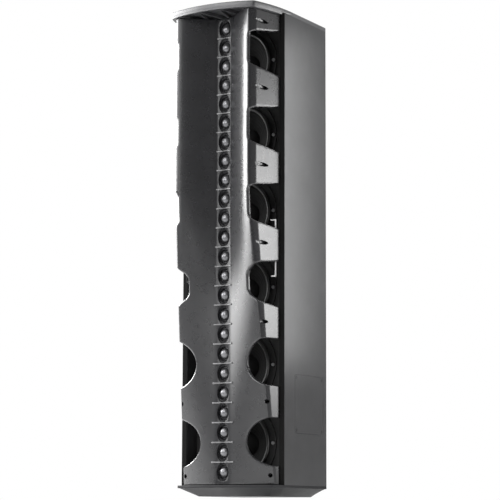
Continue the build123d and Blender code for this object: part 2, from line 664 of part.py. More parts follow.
with BuildPart() as input_dish:
    with BuildSketch(dish_plane):
        RectangleRounded(DISH_X, DISH_H, 3.7)
    extrude(amount=-DISH_T)
    with BuildSketch(dish_plane):
        Rectangle(CUP_X + 2 * DISH_T, CUP_H + 2 * DISH_T)
    extrude(amount=-CUP_DEEP - DISH_T)
    with BuildSketch(dish_plane):
        Rectangle(CUP_X, CUP_H)
    extrude(amount=-CUP_DEEP, mode=Mode.SUBTRACT)
    extrude(discs(dish_spots, 3.2, REAR_Y), amount=1.5, mode=Mode.SUBTRACT)
    extrude(discs(dish_spots, 1.5 + CLEAR, REAR_Y), amount=DISH_T, mode=Mode.SUBTRACT)
    with BuildSketch(pin_plane):
        with Locations((HINGE_Y, HINGE_Z)):
            Circle(PIN_R + 0.05)
    extrude(amount=CUP_X + 2 * DISH_T, mode=Mode.SUBTRACT)
finish(input_dish, "input_dish")

with BuildPart() as dish_screws:
    for x, z in dish_spots:
        extrude(discs([(x, z)], 3.0, REAR_Y), amount=1.4)
        extrude(discs([(x, z)], 1.5, REAR_Y - 1.4), amount=7)
finish(dish_screws, "dish_screws")

with BuildPart() as lid_hinge_pin:
    with BuildSketch(pin_plane):
        with Locations((HINGE_Y, HINGE_Z)):
            Circle(PIN_R)
    extrude(amount=CUP_X + 2 * DISH_T)
finish(lid_hinge_pin, "lid_hinge_pin")

lid_plane = facing_back(HINGE_Y + LID_T / 2)
with BuildPart() as terminal_lid:
    with BuildSketch(lid_plane):
        with Locations((0, (LID_LOW + HINGE_Z) / 2)):
            Rectangle(LID_X, HINGE_Z - LID_LOW)
        with Locations((-34, LID_LOW)):
            Rectangle(24, 16, mode=Mode.SUBTRACT)
    extrude(amount=-LID_T)
    with BuildSketch(Plane.YZ.offset(-LID_X / 2)):
        with Locations((HINGE_Y, HINGE_Z)):
            Circle(BARREL_R)
    extrude(amount=LID_X)
    with BuildSketch(Plane.YZ.offset(-LID_X / 2)):
        with Locations((HINGE_Y, HINGE_Z)):
            Circle(PIN_R + 0.3)
    extrude(amount=LID_X, mode=Mode.SUBTRACT)
    extrude(discs([(20, LID_LOW + 7)], 1.6 + CLEAR, REAR_Y), amount=10, mode=Mode.SUBTRACT)
finish(terminal_lid, "terminal_lid")

with BuildPart() as lid_screw:
    extrude(discs([(20, LID_LOW + 7)], 3.8, REAR_Y), amount=REAR_Y - HINGE_Y - LID_T / 2)
    extrude(discs([(20, LID_LOW + 7)], 1.6, HINGE_Y + LID_T / 2), amount=9)
finish(lid_screw, "lid_screw")

STRIP_Z = DISH_Z - 20
STRIP_X = 88.0
terminal_x = [-30.0, -10.0, 10.0, 30.0]
with BuildPart() as barrier_strip:
    with BuildSketch(facing_back(cup_floor, STRIP_Z)):
        Rectangle(STRIP_X, 20)
    extrude(amount=7)
    with BuildSketch(facing_back(cup_floor + 7, STRIP_Z)):
        with GridLocations(20, 0, 5, 1):
            Rectangle(2.4, 20)
    extrude(amount=6)
finish(barrier_strip, "barrier_strip")

with BuildPart() as terminal_screws:
    extrude(discs([(x, STRIP_Z) for x in terminal_x], 4.2, cup_floor + 10), amount=3)
finish(terminal_screws, "terminal_screws")

SLOT_X = 12.4
KNOB_X = 5.4
SWITCH_STEP = 6.0
with BuildPart() as switch_frames:
    with BuildSketch(facing_back(cup_floor, SWITCH_Z)):
        with Locations((-switch_x[0], 0), (-switch_x[1], 0)):
            RectangleRounded(24, 11, 1.5)
            Rectangle(SLOT_X, 5.4, mode=Mode.SUBTRACT)
    extrude(amount=3)
finish(switch_frames, "switch_frames")

for switch_name, x in (("voicing_switch", switch_x[0]), ("coverage_switch", switch_x[1])):
    with BuildPart() as slider:
        with BuildSketch(Plane(origin=(x - SWITCH_STEP / 2, cup_floor + 0.3, SWITCH_Z), x_dir=(-1, 0, 0),
                               z_dir=(0, 1, 0))):
            Rectangle(KNOB_X, 4.6)
        extrude(amount=6.5)
        fillet(slider.faces().sort_by(Axis.Y)[-1].edges(), 0.6)
    finish(slider, switch_name)

with BuildPart() as bracket_inserts:
    extrude(discs(insert_spots, INSERT_BODY_R, REAR_Y), amount=WALL)
    extrude(discs(insert_spots, INSERT_R, REAR_Y), amount=WALL, mode=Mode.SUBTRACT)
finish(bracket_inserts, "bracket_inserts")
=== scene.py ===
"""Looks of a column line array loudspeaker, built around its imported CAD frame. Lengths in mm unless noted."""

import json
import math

import bmesh
import bpy
from mathutils import Matrix, Vector


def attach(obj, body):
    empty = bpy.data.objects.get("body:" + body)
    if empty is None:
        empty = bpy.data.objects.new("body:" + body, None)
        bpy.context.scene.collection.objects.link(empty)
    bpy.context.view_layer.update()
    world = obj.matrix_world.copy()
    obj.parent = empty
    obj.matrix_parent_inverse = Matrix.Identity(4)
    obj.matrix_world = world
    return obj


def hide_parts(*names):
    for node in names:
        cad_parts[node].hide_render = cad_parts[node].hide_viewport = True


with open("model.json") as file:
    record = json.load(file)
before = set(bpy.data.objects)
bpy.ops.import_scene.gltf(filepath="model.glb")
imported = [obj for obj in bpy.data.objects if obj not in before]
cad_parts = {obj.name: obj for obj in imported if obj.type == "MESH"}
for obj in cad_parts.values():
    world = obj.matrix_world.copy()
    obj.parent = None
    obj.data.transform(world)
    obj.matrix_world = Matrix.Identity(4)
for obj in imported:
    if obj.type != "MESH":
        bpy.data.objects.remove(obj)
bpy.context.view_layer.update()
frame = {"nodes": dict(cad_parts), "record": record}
MM = 0.001

# ---------------------------------------------------------------- places shared with the CAD
EDGE_Y = -42.0            # front edges of the cabinet's side walls; a depth is measured forward from here
PITCH = 40.0
tweeter_z = [48.0 + PITCH * i for i in range(24)]
woofer_z = [108.0 + 160.0 * i for i in range(6)]
tab_z = [41.0, 188.0, 348.0, 508.0, 668.0, 828.0, 967.0]
HORN_LOW = 24.0
HORN_TOP = 989.0
THROAT = 37.0             # depth of the throat
SKIRT = (112.0, 4.0)      # x and depth of the skirt's foot
CUT_HALF = 46.0           # half height of a side opening
cut_reach = [57.0, 51.0, 42.0, 29.0, 28.0, 28.0]    # from the skirt inward, lowest opening first
POST_X = 100.5            # the horn's screws

# ---------------------------------------------------------------- sizes of the looks alone
LAND = 14.6               # half width of the flat land beside the tweeters
EASE_Z = 524.0            # the horn deepens evenly up to here, and then over EASE it levels off
EASE = 160.0
DEEPENING = 580.0         # height over which it would become deepest if it never levelled off
FLARE_STEPS = 22
SKIRT_STEPS = 7
ROW_STEP = 4.0
LIP = 3.4                 # radius of the rolled edges
END_LIP = 0.4             # the same at the horn's two ends
RETURN = 3.5              # flange behind a rolled edge
SKIN = 2.4
DRILL_R = 4.5
WELL_R = 4.2
SHANK_HOLE_R = 2.2
SEAT_DEEP = 25.0          # screw seats, behind the skirt's surface
SEAT_T = 2.0
DOME_R = 11.3
DOME_RISE = 8.6
DOME_APEX = EDGE_Y - 37.2
CONE_OUTER = (59.4, -4.1)                           # radius and Y
CONE_INNER = (19.4, 29.6)
CONE_T = 0.95
DUST_CAP_R = 24.0
DUST_CAP_RISE = 8.0
DUST_CAP_APEX = 16.9
DUST_CAP_T = 0.8
ROLL_CENTRE = (64.9, -5.0)                          # the surround's half roll: radius and Y
ROLL_R = 4.7
ROLL_T = 1.0

# A dish as (half height, depth, width share) rings from its rim inward: wall, groove, a step that catches
# light, hole.
DISH = [(19.8, THROAT, 0.72), (19.5, THROAT - 0.15, 0.72), (19.1, THROAT - 0.7, 0.72),
        (18.2, THROAT - 2.8, 0.74), (17.5, THROAT - 3.7, 0.76), (17.0, THROAT - 3.8, 0.78),
        (16.4, THROAT - 3.2, 0.80), (15.7, THROAT - 3.1, 0.83), (15.0, THROAT - 3.8, 0.87),
        (14.0, THROAT - 5.6, 0.93), (13.4, THROAT - 7.0, 0.99), (13.3, THROAT - 9.0, 1.0), (13.3, 21.0, 1.0)]
DISH_HOLE_R = 14.0        # borders nearer than this to a tweeter's centre are its dish's hole


def lerp(a, b, t):
    return a + (b - a) * t


def between(low, high, u):
    return lerp(low[0], high[0], u), lerp(low[1], high[1], u)


# ---------------------------------------------------------------- mesh helpers
def in_metres(points):
    return [[c * MM for c in p] for p in points]


def mesh_object(name, points, faces, slot, body="cabinet", sharp=35.0, replaces=()):
    """A smooth-shaded object from points in mm, riding on a CAD body."""
    mesh = bpy.data.meshes.new(name)
    mesh.from_pydata(in_metres(points), [], faces)
    return adopt(name, mesh, slot, body, sharp, replaces)


def adopt(name, mesh, slot, body, sharp, replaces):
    """Cleans a mesh and makes it an object with its slot's finish, on its body, and hides the CAD nodes it
    replaces.
    """
    work = bmesh.new()
    work.from_mesh(mesh)
    bmesh.ops.remove_doubles(work, verts=work.verts, dist=2e-6)
    bmesh.ops.dissolve_degenerate(work, edges=work.edges, dist=2e-6)
    bmesh.ops.recalc_face_normals(work, faces=work.faces)
    work.to_mesh(mesh)
    work.free()
    mesh.shade_smooth()
    mesh.set_sharp_from_angle(angle=math.radians(sharp))
    piece = loose(name, mesh)
    piece.data.materials.append(finishes[slot])
    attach(piece, body)
    if replaces:
        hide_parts(*replaces)
    return piece


def loose(name, mesh):
    """An object in the scene with nothing else set."""
    piece = bpy.data.objects.new(name, mesh)
    bpy.context.scene.collection.objects.link(piece)
    return piece


def evaluated(piece):
    """The piece's mesh with its modifiers applied."""
    bpy.context.view_layer.update()
    graph = bpy.context.evaluated_depsgraph_get()
    return bpy.data.meshes.new_from_object(piece.evaluated_get(graph))


def turned(profile, x, z, points, faces, steps=48, shape=None):
    """Adds a surface turned about a Y line at (x, z), from (radius, Y) pairs; a radius of 0 closes an end.

    shape(k, angle) may scale ring k's radius, for a hexagon socket.
    """
    rings = []
    for k, (radius, y) in enumerate(profile):
        if radius == 0:
            rings.append([len(points)])
            points.append((x, y, z))
            continue
        rings.append(list(range(len(points), len(points) + steps)))
        for s in range(steps):
            angle = 2 * math.pi * s / steps
            r = radius * (shape(k, angle) if shape else 1)
            points.append((x + r * math.cos(angle), y, z + r * math.sin(angle)))
    for a, b in zip(rings, rings[1:]):
        for s in range(steps):
            t = (s + 1) % steps
            quad = [a[s % len(a)], a[t % len(a)], b[t % len(b)], b[s % len(b)]]
            face = list(dict.fromkeys(quad))
            if len(face) > 2:
                faces.append(face)


def rounded(corner, before, after, size, steps=4):
    """Points of a rounded corner, as a quadratic curve that starts size away from it."""
    def toward(p):
        gap = math.dist(corner, p)
        t = min(size, gap * 0.45) / gap
        return between(corner, p, t)
    a, b = toward(before), toward(after)
    return [between(between(a, corner, i / steps), between(corner, b, i / steps), i / steps)
            for i in range(steps + 1)]


def ball_cap(radius, rise, apex, steps):
    """(radius, Y) pairs of a ball-shaped cap, from its apex out to its rim."""
    ball = (radius ** 2 + rise ** 2) / (2 * rise)
    reach = [radius * i / steps for i in range(1, steps + 1)]
    return [(0, apex)] + [(r, apex + ball - math.sqrt(ball ** 2 - r ** 2)) for r in reach]


# ---------------------------------------------------------------- finishes
def finish(name, colour, rough, metallic=0.0, grain=1500.0, bump=0.12, mottle=0.12, spread=0.05, shine=0.5):
    """A procedural finish: slow colour and gloss variation, and a fine grain as bump."""
    mat = bpy.data.materials.new(name)
    mat.use_nodes = True
    tree = mat.node_tree
    surface = tree.nodes["Principled BSDF"]
    surface.inputs["Metallic"].default_value = metallic
    surface.inputs["Specular IOR Level"].default_value = shine
    place = tree.nodes.new("ShaderNodeTexCoord")

    def noise(scale, detail):
        node = tree.nodes.new("ShaderNodeTexNoise")
        node.inputs["Scale"].default_value = scale
        node.inputs["Detail"].default_value = detail
        tree.links.new(place.outputs["Object"], node.inputs["Vector"])
        return node.outputs["Fac"]

    slow = noise(22.0, 4.0)
    shades = tree.nodes.new("ShaderNodeValToRGB")
    for stop, place_at, share in ((0, 0.3, 1 - mottle), (1, 0.7, 1 + mottle)):
        shades.color_ramp.elements[stop].position = place_at
        shades.color_ramp.elements[stop].color = [min(1.0, c * share) for c in colour] + [1.0]
    tree.links.new(slow, shades.inputs["Fac"])
    tree.links.new(shades.outputs["Color"], surface.inputs["Base Color"])
    gloss = tree.nodes.new("ShaderNodeMapRange")
    gloss.inputs["To Min"].default_value = max(0.05, rough - spread)
    gloss.inputs["To Max"].default_value = min(1.0, rough + spread)
    tree.links.new(noise(70.0, 3.0), gloss.inputs["Value"])
    tree.links.new(gloss.outputs["Result"], surface.inputs["Roughness"])
    relief = tree.nodes.new("ShaderNodeBump")
    relief.inputs["Strength"].default_value = bump
    relief.inputs["Distance"].default_value = 0.0002
    tree.links.new(noise(grain, 2.0), relief.inputs["Height"])
    tree.links.new(relief.outputs["Normal"], surface.inputs["Normal"])
    return mat


def sideways_place(tree):
    """A material's own X coordinate, in metres."""
    place = tree.nodes.new("ShaderNodeTexCoord")
    split = tree.nodes.new("ShaderNodeSeparateXYZ")
    tree.links.new(place.outputs["Object"], split.inputs[0])
    return split.outputs["X"]


def dull_throat(tree, start=0.012, end=0.024, dull=0.2, shiny=0.5):
    """Makes the throat between the tweeters duller than the wings, from start to end either side. Metres."""
    sideways = tree.nodes.new("ShaderNodeMath")
    sideways.operation = "ABSOLUTE"
    share = tree.nodes.new("ShaderNodeMapRange")
    share.interpolation_type = "SMOOTHSTEP"
    share.inputs["From Min"].default_value = start
    share.inputs["From Max"].default_value = end
    share.inputs["To Min"].default_value = dull
    share.inputs["To Max"].default_value = shiny
    tree.links.new(sideways_place(tree), sideways.inputs[0])
    tree.links.new(sideways.outputs[0], share.inputs["Value"])
    tree.links.new(share.outputs["Result"], tree.nodes["Principled BSDF"].inputs["Specular IOR Level"])


def blacken_left(tree):
    """Makes the clip's left half black; the right half keeps the clip's own colour."""
    surface = tree.nodes["Principled BSDF"]
    clip_colour = surface.inputs["Base Color"].links[0].from_socket
    right_side = tree.nodes.new("ShaderNodeMath")
    right_side.operation = "GREATER_THAN"
    right_side.inputs[1].default_value = 0.0
    left_black = tree.nodes.new("ShaderNodeMix")
    left_black.data_type = "RGBA"
    left_black.inputs[6].default_value = (0.004, 0.004, 0.004, 1)
    tree.links.new(sideways_place(tree), right_side.inputs[0])
    tree.links.new(right_side.outputs[0], left_black.inputs["Factor"])
    tree.links.new(clip_colour, left_black.inputs[7])
    tree.links.new(left_black.outputs[2], surface.inputs["Base Color"])


finishes = {
    "cabinet_paint": finish("cabinet_paint", (0.026, 0.026, 0.027), 0.36, grain=900, bump=0.3, shine=0.28),
    "cap_plastic": finish("cap_plastic", (0.034, 0.034, 0.036), 0.42, grain=1300, bump=0.22),
    "horn_plastic": finish("horn_plastic", (0.011, 0.011, 0.012), 0.28, grain=1800, bump=0.012, spread=0.03),
    "baffle_paint": finish("baffle_paint", (0.018, 0.018, 0.018), 0.75, bump=0.3, shine=0.2),
    "foam": finish("foam", (0.022, 0.022, 0.023), 0.95, grain=600, bump=0.9, mottle=0.4, shine=0.1),
    "gasket": finish("gasket", (0.004, 0.004, 0.004), 0.9, grain=1100, bump=0.6, shine=0.08),
    "black_steel": finish("black_steel", (0.03, 0.03, 0.032), 0.34, metallic=0.8, bump=0.1),
    "basket_metal": finish("basket_metal", (0.008, 0.008, 0.008), 0.5, grain=1100, bump=0.4, shine=0.25),
    "bright_steel": finish("bright_steel", (0.55, 0.55, 0.56), 0.3, metallic=1.0, bump=0.1),
    "ferrite": finish("ferrite", (0.03, 0.03, 0.033), 0.7, grain=700, bump=0.4),
    "cone_paper": finish("cone_paper", (0.004, 0.004, 0.004), 0.7, grain=500, bump=0.6, mottle=0.25,
                         shine=0.15),
    "surround_rubber": finish("surround_rubber", (0.008, 0.008, 0.008), 0.38, grain=1500, bump=0.15),
    "spider_cloth": finish("spider_cloth", (0.40, 0.26, 0.11), 0.9, grain=1600, bump=0.8),
    "coil_copper": finish("coil_copper", (0.62, 0.28, 0.13), 0.35, metallic=1.0, grain=2500, bump=0.4),
    "dome_metal": finish("dome_metal", (0.105, 0.105, 0.11), 0.34, metallic=0.85, grain=2500, bump=0.03),
    "module_plastic": finish("module_plastic", (0.010, 0.010, 0.010), 0.55, bump=0.2),
    "board": finish("board", (0.02, 0.10, 0.03), 0.4, grain=900, bump=0.2),
    "part_plastic": finish("part_plastic", (0.04, 0.04, 0.18), 0.35, bump=0.1),
    "part_ceramic": finish("part_ceramic", (0.62, 0.60, 0.55), 0.8, grain=700, bump=0.5),
    "thread_brass": finish("thread_brass", (0.62, 0.45, 0.18), 0.35, metallic=1.0, bump=0.1),
    "clip_metal": finish("clip_metal", (0.60, 0.60, 0.60), 0.35, metallic=0.4, bump=0.1),
    "switch_plastic": finish("switch_plastic", (0.45, 0.45, 0.45), 0.45, bump=0.15),
}
# The ribs get a lighter, glossier copy of the horn's plastic: painted highlight for the bright lines along the
# ribs.
rib_painted_highlight = finish("rib_plastic_painted_highlight", (0.050, 0.050, 0.052), 0.30, bump=0.02, shine=0.9)
# The bottom cap gets a darker, duller copy of the caps' plastic: painted shade on the underside of the column.
foot_painted_shade = finish("foot_plastic_painted_shade", (0.012, 0.012, 0.013), 0.55, grain=1300, bump=0.22, shine=0.12)
dull_throat(finishes["horn_plastic"].node_tree)
blacken_left(finishes["clip_metal"].node_tree)

slot_of = {part["node"]: part["material_slot"] for part in frame["record"]["subparts"]}
for node_name, node in frame["nodes"].items():
    node.data.materials.clear()
    # The bottom cap takes the darker copy: painted shade.
    node.data.materials.append(foot_painted_shade if node_name == "bottom_cap" else finishes[slot_of[node_name]])


# ---------------------------------------------------------------- horn section
def rise(z):
    """0 at the foot of the horn, where it is nearly flat, to 1 where it is deepest."""
    even = (min(z, EASE_Z) - HORN_LOW) / DEEPENING
    over = min(max(z - EASE_Z, 0.0), EASE)
    return even + (over - over ** 2 / (2 * EASE)) / DEEPENING


def horn_profile(z):
    """The horn's right half at a height, as (x, depth) from the throat's land out to the skirt's foot."""
    u = rise(z)
    crest = between((107.5, 13.0), (87.0, 88.0), u)
    shoulder = between((110.0, 8.5), (97.0, 71.0), u)
    guides = [(LAND, THROAT), between((53.0, 35.6), (43.0, 57.3), u),
              between((83.0, 25.5), (62.1, 79.0), u), crest]

    def flare(t):
        a, b, c, d = guides
        ab, bc, cd = between(a, b, t), between(b, c, t), between(c, d, t)
        return between(between(ab, bc, t), between(bc, cd, t), t)

    soft = lerp(1.2, 8.0, u)
    points = [flare(i / FLARE_STEPS) for i in range(FLARE_STEPS)]
    points = [p for p in points if p[0] < crest[0] - soft]
    while len(points) < FLARE_STEPS:
        points.append(between(points[-1], crest, 0.3))
    points += rounded(crest, points[-1], shoulder, soft)
    points += rounded(shoulder, points[-1], SKIRT, lerp(0.8, 3.0, u))
    last = points[-1]
    return points + [between(last, SKIRT, i / SKIRT_STEPS) for i in range(1, SKIRT_STEPS + 1)]


def surface_depth(x, z):
    """Depth of the horn's surface at a place on its right half."""
    if x < LAND:
        return THROAT
    profile = horn_profile(z)
    for (x0, d0), (x1, d1) in zip(profile, profile[1:]):
        if x0 <= x <= x1:
            return lerp(d0, d1, (x - x0) / (x1 - x0))
    return SKIRT[1]


def opening_edge(reach):
    """Half outline of a side opening as (height, inset) pairs, from its tip down to its middle.

    A deep opening is an oval. A shallower one is a flat with ramps, whose bends are rounded.
    """
    tall = CUT_HALF + LIP
    deep = reach + LIP
    if reach > 45:
        return [(tall * math.cos(t), deep * math.sin(t)) for t in (math.pi / 2 * (i / 14) for i in range(15))]
    flat = 24.0 if reach > 35 else 30.0
    radius = 14.0 if reach > 35 else 7.0
    bend = rounded((flat, deep), (tall, 0.0), (-flat, deep), radius, steps=7)
    ramp = [between((tall, 0.0), bend[0], i / 6) for i in range(6)]
    return ramp + bend + [(0.0, deep)]


opening_edges = [opening_edge(reach) for reach in cut_reach]
cells = [(z - PITCH / 2, z + PITCH / 2) for z in tweeter_z]


def edge_x(z):
    """Where the horn's skin ends on the right at a height."""
    for centre, outline in zip(woofer_z, opening_edges):
        away = abs(z - centre)
        if away <= CUT_HALF + LIP:
            for (z0, inset0), (z1, inset1) in zip(outline, outline[1:]):
                if z1 <= away <= z0:
                    t = 0 if z0 == z1 else (z0 - away) / (z0 - z1)
                    return SKIRT[0] - lerp(inset0, inset1, t)
            return SKIRT[0] - outline[-1][1]
    return SKIRT[0]


def row_heights():
    """Heights of the skin's rows: even steps, every point of the openings' outlines, and the cells' ends."""
    heights = {HORN_LOW, HORN_TOP}
    heights.update(HORN_LOW + ROW_STEP * i for i in range(1, int((HORN_TOP - HORN_LOW) / ROW_STEP)))
    for centre, outline in zip(woofer_z, opening_edges):
        heights.update(centre + side * away for away, _ in outline for side in (-1, 1))
    heights.update(z for cell in cells for z in cell)
    heights = sorted(heights)
    return [z for i, z in enumerate(heights) if i == 0 or z - heights[i - 1] > 0.02]


# ---------------------------------------------------------------- horn skin
def horn_skin():
    """The horn's front as one sheet of points and faces, with its dishes and side openings."""
    points, faces = [], []
    rows = row_heights()

    def add(x, depth, z):
        points.append((x, EDGE_Y - depth, z))
        return len(points) - 1

    land_ids = {1: {}, -1: {}}
    for side in (1, -1):
        previous = None
        for z in rows:
            limit = edge_x(z)
            profile = horn_profile(z)
            row = []
            for j, (x, depth) in enumerate(profile):
                if x > limit:
                    x0, d0 = profile[j - 1]
                    if x0 < limit:
                        depth_end = lerp(d0, depth, (limit - x0) / (x - x0))
                        row.append(add(side * limit, depth_end, z))
                    else:
                        row.append(row[-1])
                    continue
                row.append(add(side * x, depth, z))
            land_ids[side][round(z, 3)] = row[0]
            if previous:
                for j in range(len(row) - 1):
                    quad = [previous[j], previous[j + 1], row[j + 1], row[j]]
                    face = list(dict.fromkeys(quad if side > 0 else quad[::-1]))
                    if len(face) > 2:
                        faces.append(face)
            previous = row

    for low, high in [(HORN_LOW, cells[0][0]), (cells[-1][1], HORN_TOP)]:
        inside = [z for z in rows if low - 0.01 <= z <= high + 0.01]
        for z0, z1 in zip(inside, inside[1:]):
            faces.append([land_ids[-1][round(z0, 3)], land_ids[1][round(z0, 3)],
                          land_ids[1][round(z1, 3)], land_ids[-1][round(z1, 3)]])

    across = [LAND * (i / 12 * 2 - 1) for i in range(1, 12)]
    for (low, high), middle in zip(cells, tweeter_z):
        inside = [z for z in rows if low - 0.01 <= z <= high + 0.01]
        rim = [land_ids[1][round(z, 3)] for z in inside]
        rim += [add(x, THROAT, high) for x in reversed(across)]
        rim += [land_ids[-1][round(z, 3)] for z in reversed(inside)]
        rim += [add(x, THROAT, low) for x in across]
        angles = [math.atan2(points[i][2] - middle, points[i][0]) for i in rim]
        last = rim
        for radius, depth, narrow in DISH:
            ring = [add(radius * narrow * math.cos(a), depth, middle + radius * math.sin(a)) for a in angles]
            for s in range(len(rim)):
                t = (s + 1) % len(rim)
                faces.append([last[s], last[t], ring[t], ring[s]])
            last = ring
    return points, faces


def edge_directions(links):
    """Outward and normal directions at each border vertex, smoothed along the border."""
    outward, normal = {}, {}
    for v, beside in links.items():
        out = Vector()
        for e in beside:
            face = e.link_faces[0]
            along = (e.verts[1].co - e.verts[0].co).normalized()
            away = along.cross(face.normal)
            if away.dot(e.verts[0].co - face.calc_center_median()) < 0:
                away.negate()
            out += away
        outward[v] = out.normalized() if out.length > 1e-6 else Vector((0, 0, 1))
        normal[v] = sum((f.normal for f in v.link_faces), Vector()).normalized()
    others = {v: [e.other_vert(v) for e in beside] for v, beside in links.items()}
    for _ in range(4):
        mean_out = {v: outward[v] + sum((outward[n] for n in others[v]), Vector()) for v in links}
        mean_normal = {v: normal[v] + sum((normal[n] for n in others[v]), Vector()) for v in links}
        for v in links:
            normal[v] = mean_normal[v].normalized()
            sideways = mean_out[v] - normal[v] * mean_out[v].dot(normal[v])
            outward[v] = sideways.normalized() if sideways.length > 1e-6 else outward[v]
    return outward, normal


def roll_edges(mesh):
    """Turns every outer border of the skin inward: a rolled lip, then a short flange behind it."""
    work = bmesh.new()
    work.from_mesh(mesh)
    bmesh.ops.remove_doubles(work, verts=work.verts, dist=4e-6)
    bmesh.ops.dissolve_degenerate(work, edges=work.edges, dist=4e-6)
    bmesh.ops.recalc_face_normals(work, faces=work.faces)
    wings = [f for f in work.faces if abs(f.calc_center_median().x) > 0.03]
    if sum(f.normal.y for f in wings) > 0:
        bmesh.ops.reverse_faces(work, faces=work.faces)
    work.normal_update()
    border = [e for e in work.edges if e.is_boundary and max(
        min(math.hypot(v.co.x, v.co.z - z * MM) for z in tweeter_z) for v in e.verts) > DISH_HOLE_R * MM]
    links = {}
    for e in border:
        for v in e.verts:
            links.setdefault(v, []).append(e)
    outward, normal = edge_directions(links)
    steps = [(math.sin(a), 1 - math.cos(a)) for a in (math.pi / 2 * i / 5 for i in range(1, 6))]
    made = {v: [v] for v in links}
    for v in links:
        at_end = abs(v.co.z - HORN_LOW * MM) < 1e-4 or abs(v.co.z - HORN_TOP * MM) < 1e-4
        size = (END_LIP if at_end else LIP) * MM
        for s, c in steps:
            made[v].append(work.verts.new(v.co + outward[v] * size * s - normal[v] * size * c))
        made[v].append(work.verts.new(made[v][-1].co - normal[v] * RETURN * MM))
    for e in border:
        loop = next(l for l in e.link_faces[0].loops if l.edge is e)
        a, b = loop.vert, loop.link_loop_next.vert
        for k in range(len(steps) + 1):
            work.faces.new([made[b][k], made[a][k], made[a][k + 1], made[b][k + 1]])
    work.normal_update()
    work.to_mesh(mesh)
    work.free()


def screw_drill():
    """Rods along every screw of the horn, to cut the holes with."""
    points, faces = [], []
    rod = [(0, EDGE_Y - 100), (DRILL_R, EDGE_Y - 100), (DRILL_R, -3), (0, -3)]
    for z in tab_z:
        for side in (1, -1):
            turned(rod, side * POST_X, z, points, faces, 32)
    holes = bpy.data.meshes.new("screw_holes")
    holes.from_pydata(in_metres(points), [], faces)
    holes.flip_normals()
    return loose("screw_holes", holes)


def build_horn():
    """The moulding: the rolled sheet, thickened, with its screw holes cut."""
    points, faces = horn_skin()
    sheet = bpy.data.meshes.new("horn_sheet")
    sheet.from_pydata(in_metres(points), [], faces)
    roll_edges(sheet)
    skin = loose("horn_sheet", sheet)
    thick = skin.modifiers.new("skin", "SOLIDIFY")
    thick.thickness = SKIN * MM
    thick.offset = -1
    drill = screw_drill()
    cut = skin.modifiers.new("holes", "BOOLEAN")
    cut.operation = "DIFFERENCE"
    cut.solver = "EXACT"
    cut.object = drill
    horn_mesh = evaluated(skin)
    for spare in (skin, drill):
        bpy.data.objects.remove(spare)
    adopt("horn_moulding", horn_mesh, "horn_plastic", "cabinet", 38.0, ["horn_waveguide"])


# ---------------------------------------------------------------- ribs between the tweeters
def build_ribs():
    """A rib between each two tweeters: a blade along the horn's surface, with a thicker end either side."""
    points, faces = [], []
    levels = [(1.0, THROAT - 1.0), (1.0, THROAT + 0.9), (0.85, THROAT + 1.5), (0.55, THROAT + 1.9),
              (0.2, THROAT + 2.1)]              # share of the half thickness, and depth
    for low, high in zip(tweeter_z, tweeter_z[1:]):
        z = (low + high) / 2
        half = 27.0 - 10.0 * rise(z)
        outline = [(half, 0.0), (half - 0.3, 1.1), (half - 0.9, 1.8), (half - 1.8, 2.1), (half - 3.0, 1.8),
                   (half - 4.5, 1.6), (9.0, 1.5), (6.0, 1.2), (2.0, 0.9)]
        outline += [(-x, w) for x, w in reversed(outline)]
        outline += [(x, -w) for x, w in reversed(outline[1:-1])]
        start = len(points)
        count = len(outline)
        for narrow, depth in levels:
            for x, w in outline:
                above_throat = max(0.0, surface_depth(abs(x), z) - THROAT)
                points.append((x * (0.99 + 0.01 * narrow), EDGE_Y - depth - above_throat, z + w * narrow))
        for k in range(len(levels) - 1):
            for s in range(count):
                t = (s + 1) % count
                faces.append([start + k * count + s, start + k * count + t,
                              start + (k + 1) * count + t, start + (k + 1) * count + s])
        faces.append([start + s for s in range(count)])
        faces.append([start + (len(levels) - 1) * count + s for s in range(count)])
    ribs = mesh_object("throat_ribs", points, faces, "horn_plastic", sharp=50.0)
    # Lighter than the horn around them: painted highlight.
    ribs.data.materials[0] = rib_painted_highlight


# ---------------------------------------------------------------- screw wells and screws of the horn
def socket(rings):
    """A shape for turned() that makes the named rings six sided, for a hexagon socket."""
    def shape(k, angle):
        if k not in rings:
            return 1.0
        return math.cos(math.pi / 6) / math.cos((angle % (math.pi / 3)) - math.pi / 6)
    return shape


def add_well(x, z, seat, points, faces, steps=32):
    """Adds a screw's well: a mouth that follows the surface, a tube, and a seat with the shank's hole."""
    start = len(points)
    turn = [2 * math.pi * s / steps for s in range(steps)]
    mouth = ((DRILL_R + 0.2, 1.2), (DRILL_R - 0.05, 0.15), (WELL_R, 0.6))       # radius, and sink
    for radius, sink in mouth:
        for angle in turn:
            px, pz = x + radius * math.cos(angle), z + radius * math.sin(angle)
            points.append((px, EDGE_Y - surface_depth(abs(px), pz) + sink, pz))
    base = ((WELL_R, seat), (SHANK_HOLE_R, seat), (SHANK_HOLE_R, seat + SEAT_T),
            (DRILL_R + 0.2, seat + SEAT_T))
    for radius, y in base:
        for angle in turn:
            points.append((x + radius * math.cos(angle), y, z + radius * math.sin(angle)))
    rings = len(mouth) + len(base)
    for k in range(rings):
        a, b = start + k * steps, start + (k + 1) % rings * steps
        for s in range(steps):
            t = (s + 1) % steps
            faces.append([a + s, a + t, b + t, b + s])


